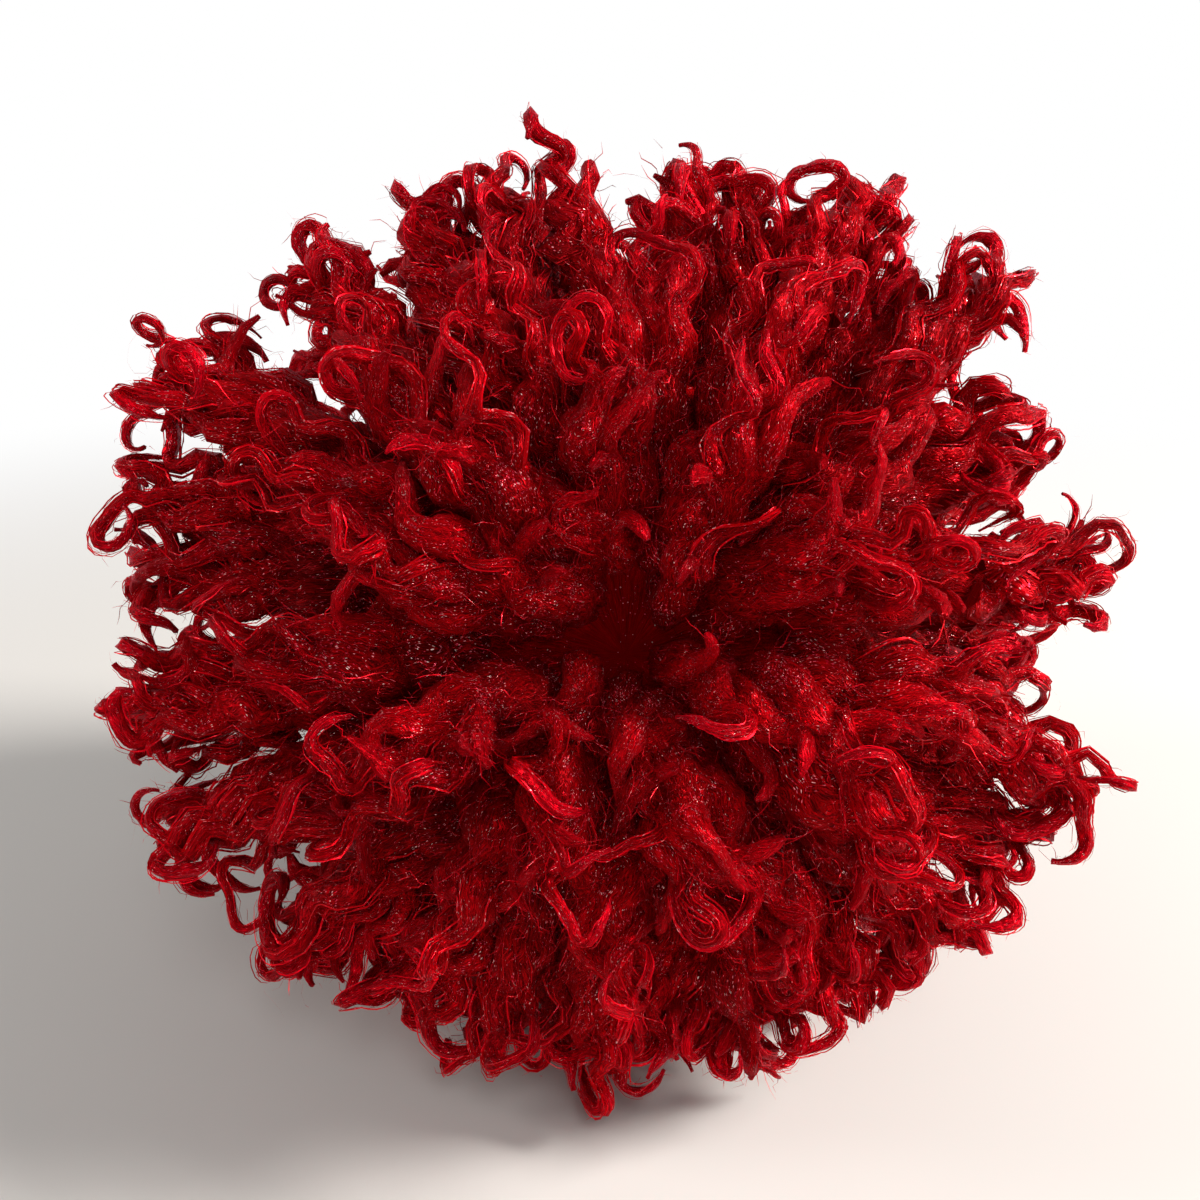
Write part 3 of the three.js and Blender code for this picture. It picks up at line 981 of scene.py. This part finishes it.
# ---- pieces ----
def underfur_reach(ways, tufts):
    """How far the matted mass reaches along each way: full under a tuft, drawn in between tufts."""
    floor_reach, tuft_reach, cover = 50 * MM, 14 * MM, 4 * MM
    reach = np.full(len(ways), floor_reach)
    for tip_way, tip, half_width in tufts:
        start = MIDDLE + root_way(tip_way) * ROOT_REACH
        spot = BODY_SHARE * (MIDDLE + tip_way * tip * MM) + (1 - BODY_SHARE) * start - MIDDLE
        off = np.degrees(np.arccos(np.clip(ways @ unit(spot), -1, 1)))
        highest = min(tuft_reach, np.linalg.norm(spot) - cover - floor_reach)
        swell = highest * np.exp(-(off / (0.85 * half_width)) ** 2)
        reach = np.maximum(reach, floor_reach + swell)
    away = np.degrees(np.arccos(np.clip(ways @ direction(*PARTING), -1, 1)))
    return reach - 2 * MM * np.exp(-(away / 18) ** 2)


def underfur(tufts, material):
    """The close mass at the middle that the locks come out of, and the way its fibres are combed."""
    body = bmesh.new()
    bmesh.ops.create_icosphere(body, subdivisions=6, radius=1)
    mesh = bpy.data.meshes.new("underfur")
    body.to_mesh(mesh)
    body.free()
    ways = np.empty(len(mesh.vertices) * 3)
    mesh.vertices.foreach_get("co", ways)
    ways = unit(ways.reshape(-1, 3))
    reach = underfur_reach(ways, tufts)
    points = MIDDLE + ways * reach[:, None]
    points[:, 2] = np.maximum(points[:, 2], 1.5 * MM)
    mesh.vertices.foreach_set("co", points.ravel())
    pole = direction(*PARTING)
    aside = ways - (ways @ pole)[:, None] * pole
    combed = unit(ways + 0.7 * aside / np.maximum(np.linalg.norm(aside, axis=1, keepdims=True), 1e-6))
    mesh.attributes.new("combed", "FLOAT_VECTOR", "POINT").data.foreach_set("vector", combed.ravel())
    mesh.shade_smooth()
    mesh.materials.append(material)
    piece = bpy.data.objects.new("underfur", mesh)
    bpy.context.scene.collection.objects.link(piece)
    return piece


def tuft_at(turn, tilt, reach, half_width):
    """Which way a tuft points, and its reach, cut short where the surface is in its way."""
    way = about_face(turn, tilt)
    limit = UNDER_REACH / -way[2] if way[2] < 0 else reach
    return way, min(reach, limit), half_width


place_camera()
light_and_floor()

# tuft, clumps in it, locks in it, fullness of a clump, thickness of a lock
front_tufts = []
for turn, reach, wide in RIM_TUFTS:
    clumps = round(CLUMPS_PER_DEGREE * wide)
    front_tufts.append((tuft_at(turn, RIM_TILT, reach, wide), clumps, 3 * clumps - 1, 1.0, 1.0))
for (tilt, reach, wide, turns), (clumps, locks, full) in zip(FACE_RINGS, FACE_PILE):
    front_tufts += [(tuft_at(turn, tilt, reach, wide), clumps, locks, full, FACE_LOCK_SLIM)
                    for turn in turns]
back_tufts = []
for tilt, reach, wide, count, first in BACK_RINGS:
    turns = [first + 360 * k / count for k in range(count)]
    back_tufts += [(tuft_at(turn, tilt, reach, wide), 3, 5, 1.25, 1.0) for turn in turns]
all_tufts = [tuft for tuft, *_ in front_tufts + back_tufts]

rope_hair = fibre_fur_material("crimson lock fibres", 36.0)
loose_hair = fibre_fur_material("crimson loose fibres", 6.0)
rope_fur = pile_material("crimson locks", 4.0, 36.0, ROPE_ROOT_SHADE_TONES, 0.25, 1.6)
clump_fur = pile_material("crimson clumps", 12.0, 45.0, CLUMP_ROOT_SHADE_TONES, 0.32, 3.0)
fibres, bodies, fluff = fibre_tree(), body_tree(), fluff_tree()

# short fuzz on the locks, fluff on the clumps and the middle, and long fibres that stray from them
FUZZ = {"Density": 110000.0, "Shortest": 1.4 * MM, "Longest": 3.5 * MM, "Steps": 4, "Width": 0.1 * MM,
        "Crinkle": 1.8 * MM, "Crinkle Scale": 700.0, "Wander": 2 * MM, "Curl": 0.6 * MM, "Turns": 0.7,
        "Lean": 0.9, "Seed": SEED + 90}
FLUFF = {"Density": 98500.0, "Shortest": 2.5 * MM, "Longest": 7 * MM, "Steps": 5, "Width": 0.15 * MM,
         "Crinkle": 2.6 * MM, "Crinkle Scale": 520.0, "Wander": 3 * MM, "Curl": 0.6 * MM, "Turns": 1.0,
         "Lean": 0.5}
STRAYS = {"Density": 1500.0, "Shortest": 8 * MM, "Longest": 16 * MM, "Steps": 22, "Width": 0.07 * MM,
          "Crinkle": 1.5 * MM, "Crinkle Scale": 200.0, "Wander": 8 * MM, "Curl": 3.0 * MM, "Turns": 1.6,
          "Lean": 0.6, "Seed": SEED + 50}

middle_piece = underfur(all_tufts, underfur_material())
pieces = [middle_piece, grow("underfur_fluff", fluff, middle_piece.data.copy(),
                             {**FLUFF, "Density": 40000.0, "Seed": SEED + 7, "Material": loose_hair})]

# side, tufts, steps in a lock, fibres round a lock, share of the fuzz's density, coats of fluff,
# share of the fluff's density
SIDES = [
    ("front", front_tufts, FRONT_STEPS, 9, 1.0, 2, 1.0),
    ("back", back_tufts, BACK_STEPS, 4, 0.4, 1, 0.72),
]
for side, tufts, steps, lock_fibres, fuzz, coats, coat in SIDES:
    clump_lines, lock_lines = [], []
    for (way, reach, wide), clumps, locks, fullness, slim in tufts:
        soft, curled = tuft_pile(way, reach, wide, clumps, locks, fullness, slim, steps)
        clump_lines += soft
        lock_lines += curled
    carrier = line_mesh(side + " lines", lock_lines)
    lock_piece = grow(side + "_locks", bodies, carrier, {"Material": rope_fur})
    clump_piece = grow(side + "_clumps", bodies, line_mesh(side + " clump lines", clump_lines), {
        "Sides": 8, "Fill": 1.0, "Lumps": 1.1, "Lump Scale": 300.0, "Material": clump_fur,
    })
    pieces += [lock_piece, clump_piece]
    pieces.append(grow(side + "_fibres", fibres, carrier,
                       {"Material": rope_hair, "Fibres": lock_fibres}))
    pieces.append(grow(side + "_fuzz", fluff, lock_piece.data.copy(),
                       {**FUZZ, "Density": fuzz * FUZZ["Density"], "Material": loose_hair}))
    for i, ending in enumerate(("_fluff", "_fluff_over")[:coats]):
        pieces.append(grow(side + ending, fluff, clump_piece.data.copy(),
                           {**FLUFF, "Density": coat * FLUFF["Density"], "Seed": SEED + i,
                            "Material": loose_hair}))
    pieces.append(grow(side + "_strays", fluff, clump_piece.data.copy(),
                       {**STRAYS, "Material": loose_hair}))

for piece in pieces:
    for attribute in ("combed", "side"):
        if attribute in piece.data.attributes:
            piece.data.attributes.remove(piece.data.attributes[attribute])

for piece in pieces:
    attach(piece, "root")
    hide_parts("fur_ball")
